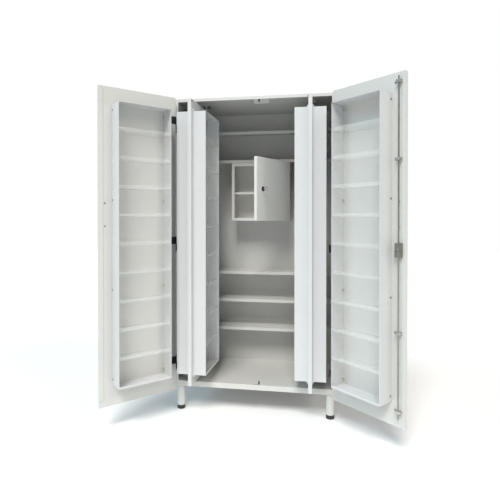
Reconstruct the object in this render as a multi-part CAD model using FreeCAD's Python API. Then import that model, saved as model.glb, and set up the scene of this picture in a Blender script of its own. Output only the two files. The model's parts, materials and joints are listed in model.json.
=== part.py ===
import FreeCAD, Part
import math
import os
from FreeCAD import Vector

# Standing steel medicine cabinet: carcass on four legs, two rack doors, two inner leaves, shelves and a safe.
# Millimetres, +Z up, front towards -Y, the floor at Z = 0 and the carcass centred on X.
# The origin lies midway between the back and the foremost corner of the open doors.

# Carcass
cab_w = 980.0
cab_d = 500.0
origin_to_back = 452.0
body_h = 1800.0
leg_h = 140.0
sheet = 1.5
side_flange = 18.0
top_lip = 18.0
floor_rise = 42.0
floor_lip = 32.0
slot_w = 30.0
slot_d = 18.0

# Legs and feet
leg_r = 25.0
leg_wall = 2.0
leg_inset_x = 27.0
leg_inset_y = 29.0
leg_plate = 76.0
leg_plate_t = 3.0
leg_plate_edge = 2.0
foot_h = 25.0
foot_stub = 20.0
foot_edge = 3.0

# Shelves, with their tops as shares of the inside height
shelf_z_shares = (0.1525, 0.263, 0.371, 0.805, 0.9155)
shelf_depth = 163.0
shelf_lip = 20.0
shelf_gap = 1.0
clip_len = 24.0
clip_leg = 14.0
clip_t = 2.0
clip_inset_shares = (0.2, 0.8)

# Ceiling strike bracket
strike_w = 96.0
strike_drop = 25.0
strike_foot = 22.0
strike_setback = 80.0
strike_from_middle = 42.0

# Doors, drawn closed on the left and opened by these angles
door_t = 25.0
door_sheet = 1.2
door_gap = 6.0
door_meet_gap = 1.0
door_end_gap = 2.0
door_left_angle = 134.0
door_right_angle = 136.5
strip_w = 22.0
strip_t = 3.0
strip_past = 6.0
strip_gap = 0.5

# Door hinges
barrel_r = 6.5
barrel_h = 45.0
pin_r = 3.5
pin_gap = 0.05
pin_head_r = 5.0
pin_head_h = 3.0
barrel_gap = 0.5
hinge_edge = 15.0
wing_t = 2.5
wing_door = 32.0
wing_body = 35.0
wing_cap = 1.5
hinge_z_shares = (0.09, 0.5, 0.91)

# Racks, their slotted rails and their trays
rack_sheet = 1.0
rack_from_floor = 78.0
rack_top_gap = 100.5
door_rack_rows = 10
rack_lip = 12.0
rail_t = 1.0
rail_back = 24.0
rail_front = 10.0
slots_per_row = 3
slot_h = 3.5
slot_end = 5.0
tray_t = 2.5
tray_lip = 20.0
tray_gap = 0.6
lug_gap = 2.0
door_rack_start = 98.0
door_rack_edge = 74.0
door_rack_d = 104.0
screw_r = 2.5
screw_head_r = 5.0
screw_head_h = 2.5
screw_len = 9.0
screw_rise = 12.0
screw_z_shares = (0.02, 0.34, 0.66, 0.98)
bracket_w = 22.0
bracket_t = 2.0

# Inner leaves, drawn closed on the left and opened by these angles
leaf_axis_in = 145.0
leaf_axis_back = 207.0
leaf_t = 22.0
leaf_sheet = 1.2
leaf_tail = 11.0
leaf_meet_gap = 2.0
leaf_floor_gap = 20.0
leaf_top_gap = 32.0
leaf_left_angle = 92.5
leaf_right_angle = 90.5
leaf_rack_start = 12.0
leaf_rack_edge = 31.0
leaf_rack_d = 79.0
leaf_rack_rows = 9
pivot_r = 6.0
pivot_gap = 0.1
pivot_plug_len = 40.0
pivot_plug_h = 30.0
pivot_collar_r = 11.0
bearing_w = 60.0
bearing_t = 6.0

# Espagnolette lock on the right door
rod_r = 4.0
rod_from_middle = 27.0
rod_off = 14.0
rod_end_gap = 8.0
rod_travel = 16.0
rod_seat = 4.0
lock_z_share = 0.5
case_w = 30.0
case_h = 72.0
case_d = 26.0
case_wall = 2.0
cam_r = 12.0
cam_t = 4.0
spindle_r = 5.0
spindle_gap = 0.1
rod_gap = 0.1
rod_tail = 12.0
rod_tail_t = 3.0
guide_w = 26.0
guide_h = 14.0
guide_cap = 4.0
guide_z_shares = (0.02, 0.25, 0.76, 0.985)
rose_r = 20.0
rose_t = 4.0
knob_len = 46.0
knob_w = 14.0
knob_d = 16.0
knob_off = 26.0
hub_r = 10.0

# Pull handles on the outside of both doors
pull_span = 128.0
pull_r = 5.0
pull_off = 32.0
pull_bend = 14.0
pull_from_middle = 32.0
pull_z_share = 0.6
pull_screw_r = 2.0
pull_screw_in = 10.0
pull_head_r = 4.5
pull_head_h = 2.2

# Safe
safe_w = 396.0
safe_drop = 414.0
safe_wall = 3.0
safe_frame = 18.0
safe_setback = 3.0
safe_shelf_drop = 230.0
safe_shelf_lip = 12.0
safe_shelf_back = 25.0
ledge = 10.0
safe_door_t = 20.0
safe_door_sheet = 2.0
safe_door_gap = 0.5
safe_door_margin = 4.0
safe_door_angle = 64.0
safe_barrel_r = 5.0
safe_barrel_h = 30.0
safe_pin_r = 2.5
safe_hinge_edge = 6.5
safe_lug_in = 5.0
safe_lug_wing = 25.0
safe_lock_in = 66.0
safe_lock_r = 12.0
safe_lock_rim_r = 15.0
safe_lock_rim_t = 3.0
safe_plug_r = 7.0
safe_plug_gap = 0.1
safe_tongue_len = 62.0
safe_tongue_w = 15.0
safe_tongue_t = 3.0
safe_tongue_gap = 1.0
key_shaft_r = 2.5
key_shaft_out = 12.0
key_depth = 14.0
key_bow_r = 12.0
key_bow_t = 3.0
key_hole_r = 4.0

# Places worked out from the sizes
left_x = -cab_w / 2
right_x = cab_w / 2
back_y = origin_to_back
front_y = back_y - cab_d
base_z = leg_h
top_z = leg_h + body_h
floor_z = base_z + floor_rise
ceiling_z = top_z - sheet
shelf_levels = [floor_z + (ceiling_z - floor_z) * share for share in shelf_z_shares]
inner_back_y = back_y - sheet
shelf_front_y = inner_back_y - shelf_depth
door_in_y = front_y - door_gap
door_out_y = door_in_y - door_t
door_hinge = (left_x + hinge_edge - barrel_r - wing_cap, door_out_y + barrel_r)
leaf_axis = (left_x + leaf_axis_in, front_y + leaf_axis_back)
leaf_end_x = -leaf_meet_gap
rack_z = floor_z + rack_from_floor
rack_h = ceiling_z - rack_top_gap - rack_z
lock_z = base_z + body_h * lock_z_share
lip_top_z = top_z - top_lip
rod_start = case_h / 2 - case_wall - rod_travel - rod_seat


def block(x0, x1, y0, y1, z0, z1):
    return Part.makeBox(x1 - x0, y1 - y0, z1 - z0, Vector(x0, y0, z0))


def post(r, x, y, z0, z1):
    return Part.makeCylinder(r, z1 - z0, Vector(x, y, z0))


def bar_y(r, x, z, y0, y1):
    return Part.makeCylinder(r, y1 - y0, Vector(x, y0, z), Vector(0, 1, 0))


def bar_x(r, y, z, x0, x1):
    return Part.makeCylinder(r, x1 - x0, Vector(x0, y, z), Vector(1, 0, 0))


def join(shapes):
    return shapes[0].multiFuse(shapes[1:]).removeSplitter()


def cut(shape, tools):
    return shape.cut(Part.makeCompound(tools))


def opened(shape, axis, angle):
    turned = shape.copy()
    turned.rotate(Vector(axis[0], axis[1], 0), Vector(0, 0, 1), -angle)
    return turned


def other_side(shape):
    return shape.mirror(Vector(0, 0, 0), Vector(1, 0, 0))


def save(name, shapes):
    solids = shapes if isinstance(shapes, list) else [shapes]
    shape = solids[0] if len(solids) == 1 else Part.makeCompound(solids)
    shape.exportStep(os.path.join("parts", name + ".step"))


def side_panel():
    wall = block(left_x, left_x + sheet, front_y, back_y, base_z, top_z)
    flange = block(left_x, left_x + side_flange, front_y, front_y + sheet, base_z, top_z)
    return join([wall, flange])


def rod_slot(z0, z1):
    x = rod_from_middle
    y = door_in_y + rod_off
    return block(x - slot_w / 2, x + slot_w / 2, y - slot_d / 2, y + slot_d / 2, z0, z1)


def lipped_plate(z0, z1, lip_z0, lip_z1):
    plate = block(left_x + sheet, right_x - sheet, front_y + sheet, inner_back_y, z0, z1)
    lip = block(left_x + side_flange, right_x - side_flange, front_y, front_y + sheet, lip_z0, lip_z1)
    slot = rod_slot(z0, z1)
    return cut(join([plate, lip]), [slot.common(plate)])


def corner_places():
    inset_x = cab_w / 2 - leg_inset_x
    return [(x, y) for x in (-inset_x, inset_x) for y in (front_y + leg_inset_y, back_y - leg_inset_y)]


def leg(x, y):
    under = floor_z - sheet
    outer = post(leg_r, x, y, foot_h, under)
    tube = outer.cut(post(leg_r - leg_wall, x, y, foot_h, under))
    at_left = x < 0
    at_front = y < (front_y + back_y) / 2
    x0 = left_x + leg_plate_edge if at_left else right_x - leg_plate_edge - leg_plate
    y0 = front_y + leg_plate_edge if at_front else back_y - leg_plate_edge - leg_plate
    plate = block(x0, x0 + leg_plate, y0, y0 + leg_plate, under - leg_plate_t, under)
    return join([tube, plate])


def foot(x, y):
    pad = post(leg_r, x, y, 0, foot_h)
    rim = [e for e in pad.Edges if e.BoundBox.ZMax < foot_h / 2 and len(e.Vertexes) == 1]
    pad = pad.makeChamfer(foot_edge, rim)
    return join([pad, post(leg_r - leg_wall, x, y, foot_h, foot_h + foot_stub)])


def shelf(z):
    x0 = left_x + sheet + shelf_gap
    x1 = right_x - sheet - shelf_gap
    plate = block(x0, x1, shelf_front_y, inner_back_y, z - sheet, z)
    lip = block(x0, x1, shelf_front_y, shelf_front_y + sheet, z - shelf_lip, z)
    return join([plate, lip])


def shelf_clip(level, y_share):
    z = level - sheet
    y = shelf_front_y + shelf_depth * y_share
    x0 = left_x + sheet
    foot_leg = block(x0, x0 + clip_leg, y - clip_len / 2, y + clip_len / 2, z - clip_t, z)
    wall_leg = block(x0, x0 + clip_t, y - clip_len / 2, y + clip_len / 2, z - clip_leg, z)
    return join([foot_leg, wall_leg])


def shelf_clips():
    left = [shelf_clip(level, share) for level in shelf_levels for share in clip_inset_shares]
    return left + [other_side(clip) for clip in left]


def strike_bracket():
    x = strike_from_middle
    y = front_y + strike_setback
    x0, x1 = x - strike_w / 2, x + strike_w / 2
    head = block(x0, x1, y, y + strike_foot, ceiling_z - sheet, ceiling_z)
    web = block(x0, x1, y, y + sheet, ceiling_z - strike_drop, ceiling_z)
    return join([head, web])


def hinge_heights():
    return [base_z + body_h * share for share in hinge_z_shares]


def barrel(z0, z1):
    x, y = door_hinge
    return post(barrel_r, x, y, z0, z1)


def pin_hole(r, z):
    x, y = door_hinge
    return post(r, x, y, z - barrel_h, z + barrel_h)


def body_hinge(z):
    x, y = door_hinge
    tube = barrel(z - barrel_h, z)
    arm = block(x - barrel_r, x, y, front_y, z - barrel_h, z)
    wing = block(x - barrel_r, x - barrel_r + wing_body, front_y - wing_t, front_y, z - barrel_h, z)
    return cut(join([tube, arm, wing]), [pin_hole(pin_r, z)])


def door_hinge_leaf(z):
    x, y = door_hinge
    edge_x = left_x + hinge_edge
    z0 = z + barrel_gap
    tube = barrel(z0, z + barrel_h)
    arm = block(x, edge_x, door_out_y, y, z0, z + barrel_h)
    cap = block(edge_x - wing_cap, edge_x, door_out_y, door_in_y + wing_t, z0, z + barrel_h)
    wing = block(edge_x - wing_cap, edge_x + wing_door, door_in_y, door_in_y + wing_t, z0, z + barrel_h)
    return cut(join([tube, arm, cap, wing]), [pin_hole(pin_r + pin_gap, z)])


def hinge_pin(z):
    x, y = door_hinge
    shank = post(pin_r, x, y, z - barrel_h, z + barrel_h)
    head = post(pin_head_r, x, y, z - barrel_h - pin_head_h, z - barrel_h)
    return join([shank, head])


def door_box(inset, y0, y1):
    return block(left_x + hinge_edge + inset, -door_meet_gap - inset, y0, y1,
                 base_z + door_end_gap + inset, top_z - door_end_gap - inset)


def spindle_hole(r, y0, y1):
    return bar_y(r, -rod_from_middle, lock_z, y0, y1)


def pull_heights():
    middle = base_z + body_h * pull_z_share
    return middle - pull_span / 2, middle + pull_span / 2


def pull_holes(y0, y1):
    return [bar_y(pull_screw_r, -pull_from_middle, z, y0, y1) for z in pull_heights()]


def door_skin(has_lock):
    skin = door_box(0, door_out_y, door_in_y).cut(door_box(door_sheet, door_out_y + door_sheet, door_in_y))
    skin = cut(skin, pull_holes(door_out_y, door_out_y + door_sheet))
    if not has_lock:
        return skin
    return skin.cut(spindle_hole(spindle_r + spindle_gap, door_out_y, door_in_y))


def rack_screw_heights():
    return [rack_z + rack_h * share for share in screw_z_shares]


def rack_sides():
    x0 = left_x + door_rack_start
    return x0, -door_rack_edge


def rack_bracket(z, x, inward):
    x0, x1 = sorted((x, x + inward * bracket_t))
    f0, f1 = sorted((x, x + inward * bracket_w))
    upright = block(x0, x1, door_in_y, door_in_y + bracket_w, z - bracket_w / 2, z + bracket_w / 2)
    flat = block(f0, f1, door_in_y, door_in_y + bracket_t, z - bracket_w / 2, z + bracket_w / 2)
    hole = bar_x(screw_r, door_in_y + screw_rise, z, x0, x1)
    return join([upright, flat]).cut(hole)


def door_inner(has_lock):
    back_y0 = door_in_y - door_sheet
    plate = cut(door_box(door_sheet, back_y0, door_in_y), pull_holes(back_y0, door_in_y))
    if has_lock:
        plate = plate.cut(spindle_hole(spindle_r + spindle_gap, door_out_y, door_in_y))
    x0, x1 = rack_sides()
    brackets = []
    for z in rack_screw_heights():
        brackets.append(rack_bracket(z, x0 + rack_sheet, 1))
        brackets.append(rack_bracket(z, x1 - rack_sheet, -1))
    return [plate] + brackets


def rack_screw(z, x, outward):
    y = door_in_y + screw_rise
    h0, h1 = sorted((x, x + outward * screw_head_h))
    s0, s1 = sorted((x, x - outward * screw_len))
    head = bar_x(screw_head_r, y, z, h0, h1)
    edge = [e for e in head.Edges if abs(e.BoundBox.Center.x - (x + outward * screw_head_h)) < screw_head_h / 2
            and len(e.Vertexes) == 1]
    head = head.makeFillet(screw_head_h / 2, edge)
    return join([head, bar_x(screw_r, y, z, s0, s1)])


def rack_screws():
    x0, x1 = rack_sides()
    return [rack_screw(z, x, out) for z in rack_screw_heights() for x, out in ((x0, -1), (x1, 1))]


def door_pull():
    x = -pull_from_middle
    foot_y, grip_y = door_out_y, door_out_y - pull_off
    z0, z1 = pull_heights()
    b = pull_bend
    off = b - b * math.sqrt(0.5)
    lower = Part.Arc(Vector(x, grip_y + b, z0), Vector(x, grip_y + off, z0 + off), Vector(x, grip_y, z0 + b))
    upper = Part.Arc(Vector(x, grip_y, z1 - b), Vector(x, grip_y + off, z1 - off), Vector(x, grip_y + b, z1))
    path = Part.Wire([
        Part.makeLine(Vector(x, foot_y, z0), Vector(x, grip_y + b, z0)),
        lower.toShape(),
        Part.makeLine(Vector(x, grip_y, z0 + b), Vector(x, grip_y, z1 - b)),
        upper.toShape(),
        Part.makeLine(Vector(x, grip_y + b, z1), Vector(x, foot_y, z1)),
    ])
    ring = Part.Wire([Part.makeCircle(pull_r, Vector(x, foot_y, z0), Vector(0, 1, 0))])
    bow = path.makePipeShell([ring], True, False)
    return cut(bow, pull_holes(foot_y - pull_screw_in, foot_y))


def pull_screw(z):
    x = -pull_from_middle
    head = bar_y(pull_head_r, x, z, door_in_y, door_in_y + pull_head_h)
    edge = [e for e in head.Edges if e.BoundBox.YMin > door_in_y + pull_head_h / 2]
    head = head.makeFillet(pull_head_h / 2, edge)
    return join([head, bar_y(pull_screw_r, x, z, door_out_y - pull_screw_in, door_in_y)])


def row_heights(steps):
    pitch = rack_h / steps
    return [rack_z + pitch * i for i in range(1, steps)]


def rack_frame(x0, x1, y0, depth, screw_holes=()):
    y1 = y0 + depth
    z0, z1 = rack_z, rack_z + rack_h
    shell = block(x0, x1, y0, y1, z0, z1)
    hollow = block(x0 + rack_sheet, x1 - rack_sheet, y0, y1, z0 + rack_sheet, z1 - rack_sheet)
    lip = block(x0 + rack_sheet, x1 - rack_sheet, y1 - rack_sheet, y1, z0, z0 + rack_lip)
    frame = join([shell.cut(hollow), lip])
    return cut(frame, screw_holes) if screw_holes else frame


def slot_ends(y0, depth):
    return y0 + rail_back + slot_end, y0 + depth - rail_front - slot_end


def rack_rail(x, y0, depth, rows):
    z0, z1 = rack_z + rack_sheet, rack_z + rack_h - rack_sheet
    rail = block(x, x + rail_t, y0 + rail_back, y0 + depth - rail_front, z0, z1)
    s0, s1 = slot_ends(y0, depth)
    return cut(rail, [block(x, x + rail_t, s0, s1, z, z + slot_h) for z in row_heights(slots_per_row * rows)])


def rack_rails(x0, x1, y0, depth, rows):
    return [rack_rail(x, y0, depth, rows) for x in (x0 + rack_sheet, x1 - rack_sheet - rail_t)]


def rack_tray(x0, x1, y0, depth, z):
    inner0 = x0 + rack_sheet + rail_t + tray_gap
    inner1 = x1 - rack_sheet - rail_t - tray_gap
    y1 = y0 + depth
    plate = block(inner0, inner1, y0, y1, z, z + tray_t)
    lip = block(inner0, inner1, y1 - tray_t, y1, z, z + tray_lip)
    s0, s1 = slot_ends(y0, depth)
    lugs = block(x0 + rack_sheet, x1 - rack_sheet, s0 + lug_gap, s1 - lug_gap, z, z + tray_t)
    return join([plate, lip, lugs])


def rack_trays(x0, x1, y0, depth, rows):
    return [rack_tray(x0, x1, y0, depth, z) for z in row_heights(rows)]


def door_rack():
    x0, x1 = rack_sides()
    holes = [bar_x(screw_r, door_in_y + screw_rise, z, x, x + rack_sheet)
             for z in rack_screw_heights() for x in (x0, x1 - rack_sheet)]
    return rack_frame(x0, x1, door_in_y, door_rack_d, holes)


def door_rails():
    x0, x1 = rack_sides()
    return rack_rails(x0, x1, door_in_y, door_rack_d, door_rack_rows)


def door_trays():
    x0, x1 = rack_sides()
    return rack_trays(x0, x1, door_in_y, door_rack_d, door_rack_rows)


def overlap_strip():
    x_edge = -door_meet_gap
    x_end = strip_past
    z0, z1 = base_z + floor_rise, lip_top_z
    seat = block(x_end - strip_w - strip_past, x_edge, door_in_y, door_in_y + strip_t, z0, z1)
    tongue = block(x_edge, x_end, door_in_y + strip_gap, door_in_y + strip_t, z0, z1)
    return join([seat, tongue])


def leaf_ends():
    return leaf_axis[0] - leaf_tail, leaf_end_x


def leaf_heights():
    return floor_z + leaf_floor_gap, ceiling_z - leaf_top_gap


def leaf_panel():
    x0, x1 = leaf_ends()
    z0, z1 = leaf_heights()
    y0, y1 = leaf_axis[1] - leaf_t / 2, leaf_axis[1] + leaf_t / 2
    inner = block(x0 + leaf_sheet, x1 - leaf_sheet, y0 + leaf_sheet, y1 - leaf_sheet, z0, z1)
    return block(x0, x1, y0, y1, z0, z1).cut(inner)


def leaf_plug(z0, z1):
    x0 = leaf_axis[0] - leaf_tail + leaf_sheet
    half = leaf_t / 2 - leaf_sheet
    return block(x0, x0 + pivot_plug_len, leaf_axis[1] - half, leaf_axis[1] + half, z0, z1)


def leaf_pivots():
    x, y = leaf_axis
    z0, z1 = leaf_heights()
    collar = post(pivot_collar_r, x, y, floor_z + bearing_t, z0)
    lower = [leaf_plug(z0, z0 + pivot_plug_h), collar, post(pivot_r, x, y, floor_z, z0)]
    upper = [leaf_plug(z1 - pivot_plug_h, z1), post(pivot_r, x, y, z1, ceiling_z)]
    return [join(lower), join(upper)]


def bearing(z0):
    x, y = leaf_axis
    half = bearing_w / 2
    plate = block(x - half, x + half, y - half, y + half, z0, z0 + bearing_t)
    return plate.cut(post(pivot_r + pivot_gap, x, y, z0, z0 + bearing_t))


def bearings():
    left = [bearing(floor_z), bearing(ceiling_z - bearing_t)]
    return left + [other_side(plate) for plate in left]


def leaf_rack_place():
    x0 = leaf_axis[0] + leaf_rack_start
    return x0, leaf_end_x - leaf_rack_edge, leaf_axis[1] + leaf_t / 2


def leaf_rack_rear():
    x0, x1, y0 = leaf_rack_place()
    return rack_frame(x0, x1, y0, leaf_rack_d)


def leaf_rails_rear():
    x0, x1, y0 = leaf_rack_place()
    return rack_rails(x0, x1, y0, leaf_rack_d, leaf_rack_rows)


def leaf_trays_rear():
    x0, x1, y0 = leaf_rack_place()
    return rack_trays(x0, x1, y0, leaf_rack_d, leaf_rack_rows)


def to_front(shape):
    return shape.mirror(Vector(0, leaf_axis[1], 0), Vector(0, 1, 0))


def lock_case():
    x = -rod_from_middle
    y0, y1 = door_in_y, door_in_y + case_d
    z0, z1 = lock_z - case_h / 2, lock_z + case_h / 2
    half = case_w / 2
    shell = block(x - half, x + half, y0, y1, z0, z1)
    inner = half - case_wall
    hollow = block(x - inner, x + inner, y0, y1 - case_wall, z0 + case_wall, z1 - case_wall)
    return cut(shell, [hollow, post(rod_r + rod_gap, x, door_in_y + rod_off, z0, z1)])


def lock_cam():
    x = -rod_from_middle
    disc_y = door_in_y + rod_off - rod_tail_t / 2 - rod_gap - cam_t
    spindle = bar_y(spindle_r, x, lock_z, door_out_y - rose_t, disc_y)
    return join([spindle, bar_y(cam_r, x, lock_z, disc_y, disc_y + cam_t)])


def lock_rod(side):
    x, y = -rod_from_middle, door_in_y + rod_off
    near = lock_z + side * rod_start
    far = lip_top_z - rod_end_gap if side > 0 else floor_z + rod_end_gap
    z0, z1 = sorted((near, far))
    shaft = post(rod_r, x, y, z0, z1)
    tail_end = near - side * rod_tail
    t0, t1 = sorted((near, tail_end))
    x0, x1 = sorted((x, x + side * rod_r))
    tail = block(x0, x1, y - rod_tail_t / 2, y + rod_tail_t / 2, t0, t1)
    return join([shaft, tail])


def rod_guide(z):
    x, y = -rod_from_middle, door_in_y + rod_off
    half = guide_w / 2
    body = block(x - half, x + half, door_in_y, y + rod_r + guide_cap, z - guide_h / 2, z + guide_h / 2)
    edges = [e for e in body.Edges if abs(e.BoundBox.Center.y - body.BoundBox.YMax) < guide_cap / 2
             and e.BoundBox.ZLength > guide_h / 2]
    body = body.makeFillet(guide_cap, edges)
    return body.cut(post(rod_r + rod_gap, x, y, z - guide_h / 2, z + guide_h / 2))


def rod_guides():
    low = floor_z + rod_end_gap
    high = lip_top_z - rod_end_gap
    return [rod_guide(low + (high - low) * share) for share in guide_z_shares]


def lock_rose():
    x = -rod_from_middle
    rose = bar_y(rose_r, x, lock_z, door_out_y - rose_t, door_out_y)
    return rose.cut(spindle_hole(spindle_r + spindle_gap, door_out_y - rose_t, door_out_y))


def lock_knob():
    x = -rod_from_middle
    y1 = door_out_y - rose_t
    y0 = y1 - knob_off
    hub = bar_y(hub_r, x, lock_z, y0 + knob_d / 2, y1)
    wing = block(x - knob_w / 2, x + knob_w / 2, y0, y0 + knob_d, lock_z - knob_len / 2, lock_z + knob_len / 2)
    corners = [e for e in wing.Edges if e.BoundBox.YLength > knob_d / 2]
    wing = wing.makeFillet(knob_w * 0.45, corners)
    rim = [e for e in wing.Edges if e.BoundBox.YMax < y0 + knob_d / 4]
    return join([hub, wing.makeFillet(knob_w / 7, rim)])


# The safe hangs under the fourth shelf
safe_x1 = safe_w / 2
safe_top_z = shelf_levels[3] - sheet
safe_bottom_z = safe_top_z - safe_drop
safe_front_y = shelf_front_y + safe_setback
safe_door_back_y = safe_front_y - safe_door_gap
safe_door_front_y = safe_door_back_y - safe_door_t
safe_door_z0 = safe_bottom_z + safe_door_margin
safe_door_z1 = safe_top_z + sheet - shelf_lip - safe_door_margin
safe_axis = (safe_x1, safe_door_front_y + safe_barrel_r)
safe_lock_x = -safe_x1 + safe_lock_in
safe_lock_z = (safe_door_z0 + safe_door_z1) / 2
safe_shelf_z = safe_top_z - safe_shelf_drop


def safe_lug(z0, z1):
    x, y = safe_axis
    tube = post(safe_barrel_r, x, y, z0, z1)
    arm = block(x - safe_lug_in, x + safe_lug_in, y, safe_front_y, z0, z1)
    wing = block(x, x + safe_lug_in, y, safe_front_y + safe_lug_wing, z0, z1)
    return [tube, arm, wing]


def safe_body():
    x0, x1 = -safe_x1, safe_x1
    shell = block(x0, x1, safe_front_y, inner_back_y, safe_bottom_z, safe_top_z)
    hollow = block(x0 + safe_wall, x1 - safe_wall, safe_front_y + safe_wall, inner_back_y - safe_wall,
                   safe_bottom_z + safe_wall, safe_top_z - safe_wall)
    mouth = block(x0 + safe_frame, x1 - safe_frame, safe_front_y, safe_front_y + safe_wall,
                  safe_bottom_z + safe_frame, safe_door_z1 - safe_frame)
    ledges = []
    for a, b in ((x0 + safe_wall, x0 + safe_wall + ledge), (x1 - safe_wall - ledge, x1 - safe_wall)):
        ledges.append(block(a, b, safe_front_y + safe_shelf_back, inner_back_y - safe_wall,
                            safe_shelf_z - sheet - safe_wall, safe_shelf_z - sheet))
    lugs = safe_lug(safe_door_z0, safe_door_z0 + safe_barrel_h)
    lugs += safe_lug(safe_door_z1 - safe_barrel_h, safe_door_z1)
    whole = join([cut(shell, [hollow, mouth])] + ledges + lugs)
    return whole.cut(post(safe_pin_r, safe_axis[0], safe_axis[1], safe_door_z0, safe_door_z1))


def safe_shelf():
    x0, x1 = -safe_x1 + safe_wall + shelf_gap, safe_x1 - safe_wall - shelf_gap
    y0 = safe_front_y + safe_shelf_back
    plate = block(x0, x1, y0, inner_back_y - safe_wall, safe_shelf_z - sheet, safe_shelf_z)
    lip = block(x0, x1, y0, y0 + sheet, safe_shelf_z - sheet, safe_shelf_z + safe_shelf_lip)
    return join([plate, lip])


def safe_knuckle_z():
    return safe_door_z0 + safe_barrel_h + barrel_gap, safe_door_z1 - safe_barrel_h - barrel_gap


def safe_door():
    x0, x1 = -safe_x1, safe_x1 - safe_hinge_edge
    s = safe_door_sheet
    pan = block(x0, x1, safe_door_front_y, safe_door_back_y, safe_door_z0, safe_door_z1)
    hollow = block(x0 + s, x1 - s, safe_door_front_y + s, safe_door_back_y, safe_door_z0 + s, safe_door_z1 - s)
    k0, k1 = safe_knuckle_z()
    tube = post(safe_barrel_r, safe_axis[0], safe_axis[1], k0, k1)
    arm = block(x1, safe_axis[0], safe_door_front_y, safe_axis[1], k0, k1)
    seat = bar_y(safe_lock_r, safe_lock_x, safe_lock_z, safe_door_front_y, safe_door_front_y + s)
    whole = join([pan.cut(hollow), tube, arm]).cut(seat)
    return whole.cut(post(safe_pin_r + pin_gap, safe_axis[0], safe_axis[1], k0, k1))


def safe_pin():
    return post(safe_pin_r, safe_axis[0], safe_axis[1], safe_door_z0, safe_door_z1)


def safe_lock():
    x, z = safe_lock_x, safe_lock_z
    front = safe_door_front_y
    rim = bar_y(safe_lock_rim_r, x, z, front - safe_lock_rim_t, front)
    barrel_body = bar_y(safe_lock_r, x, z, front, safe_door_back_y)
    bore = bar_y(safe_plug_r + safe_plug_gap, x, z, front - safe_lock_rim_t, safe_door_back_y)
    return join([rim, barrel_body]).cut(bore)


def safe_plug():
    x, z = safe_lock_x, safe_lock_z
    front = safe_door_front_y - safe_lock_rim_t
    y1 = safe_front_y + safe_wall + safe_tongue_gap
    plug = bar_y(safe_plug_r, x, z, front, y1)
    half = safe_tongue_w / 2
    tongue = block(x - half, x + half, y1, y1 + safe_tongue_t, z - half, z + safe_tongue_len)
    keyway = bar_y(key_shaft_r, x, z, front, front + key_depth)
    return join([plug, tongue]).cut(keyway)


def safe_key():
    x, z = safe_lock_x, safe_lock_z
    front = safe_door_front_y - safe_lock_rim_t
    shaft = bar_y(key_shaft_r, x, z, front - key_shaft_out, front + key_depth)
    bow_y = front - key_shaft_out - key_bow_r
    bow = Part.makeCylinder(key_bow_r, key_bow_t, Vector(x - key_bow_t / 2, bow_y, z), Vector(1, 0, 0))
    hole = Part.makeCylinder(key_hole_r, key_bow_t, Vector(x - key_bow_t / 2, bow_y, z), Vector(1, 0, 0))
    overlap = bar_y(key_shaft_r, x, z, front - key_shaft_out - key_shaft_r, front)
    return join([shaft, overlap, bow]).cut(hole)


def all_of(shapes, change):
    return [change(shape) for shape in shapes]


def save_carcass():
    left = side_panel()
    save("side_left", left)
    save("side_right", other_side(left))
    save("back_panel", block(left_x + sheet, right_x - sheet, inner_back_y, back_y, base_z, top_z))
    save("top_panel", lipped_plate(ceiling_z, top_z, lip_top_z, top_z))
    save("bottom_panel", lipped_plate(floor_z - sheet, floor_z, floor_z - floor_lip, floor_z))
    save("legs", [leg(x, y) for x, y in corner_places()])
    save("feet", [foot(x, y) for x, y in corner_places()])
    for number, level in enumerate(shelf_levels, 1):
        save("shelf_%d" % number, shelf(level))
    save("shelf_clips", shelf_clips())
    save("strike_bracket", strike_bracket())
    save("leaf_bearings", bearings())
    leaves = all_of(hinge_heights(), body_hinge)
    pins = all_of(hinge_heights(), hinge_pin)
    save("hinge_leaves_body", leaves + all_of(leaves, other_side))
    save("hinge_pins", pins + all_of(pins, other_side))


def save_door(side, angle, has_lock):
    def at_rest(shape):
        turned = opened(shape, door_hinge, angle)
        return turned if side == "left" else other_side(turned)

    save(side + "_door_skin", at_rest(door_skin(has_lock)))
    save(side + "_door_inner", all_of(door_inner(has_lock), at_rest))
    save(side + "_door_rack", at_rest(door_rack()))
    save(side + "_door_rails", all_of(door_rails(), at_rest))
    save(side + "_door_trays", all_of(door_trays(), at_rest))
    save(side + "_door_screws", all_of(rack_screws() + all_of(pull_heights(), pull_screw), at_rest))
    save(side + "_door_hinges", all_of(all_of(hinge_heights(), door_hinge_leaf), at_rest))
    save(side + "_door_pull", at_rest(door_pull()))
    if not has_lock:
        save("overlap_strip", at_rest(overlap_strip()))
        return
    save("lock_case", at_rest(lock_case()))
    save("rod_guides", all_of(rod_guides(), at_rest))
    save("lock_rose", at_rest(lock_rose()))
    save("lock_knob", at_rest(lock_knob()))
    save("lock_cam", at_rest(lock_cam()))
    save("rod_upper", at_rest(lock_rod(1)))
    save("rod_lower", at_rest(lock_rod(-1)))


def save_leaf(side, angle):
    def at_rest(shape):
        turned = opened(shape, leaf_axis, angle)
        return turned if side == "left" else other_side(turned)

    rack = leaf_rack_rear()
    rails = leaf_rails_rear()
    trays = leaf_trays_rear()
    save(side + "_leaf_panel", at_rest(leaf_panel()))
    save(side + "_leaf_pivots", all_of(leaf_pivots(), at_rest))
    save(side + "_leaf_rack_rear", at_rest(rack))
    save(side + "_leaf_rack_front", at_rest(to_front(rack)))
    save(side + "_leaf_rails", all_of(rails + all_of(rails, to_front), at_rest))
    save(side + "_leaf_trays", all_of(trays + all_of(trays, to_front), at_rest))


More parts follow.
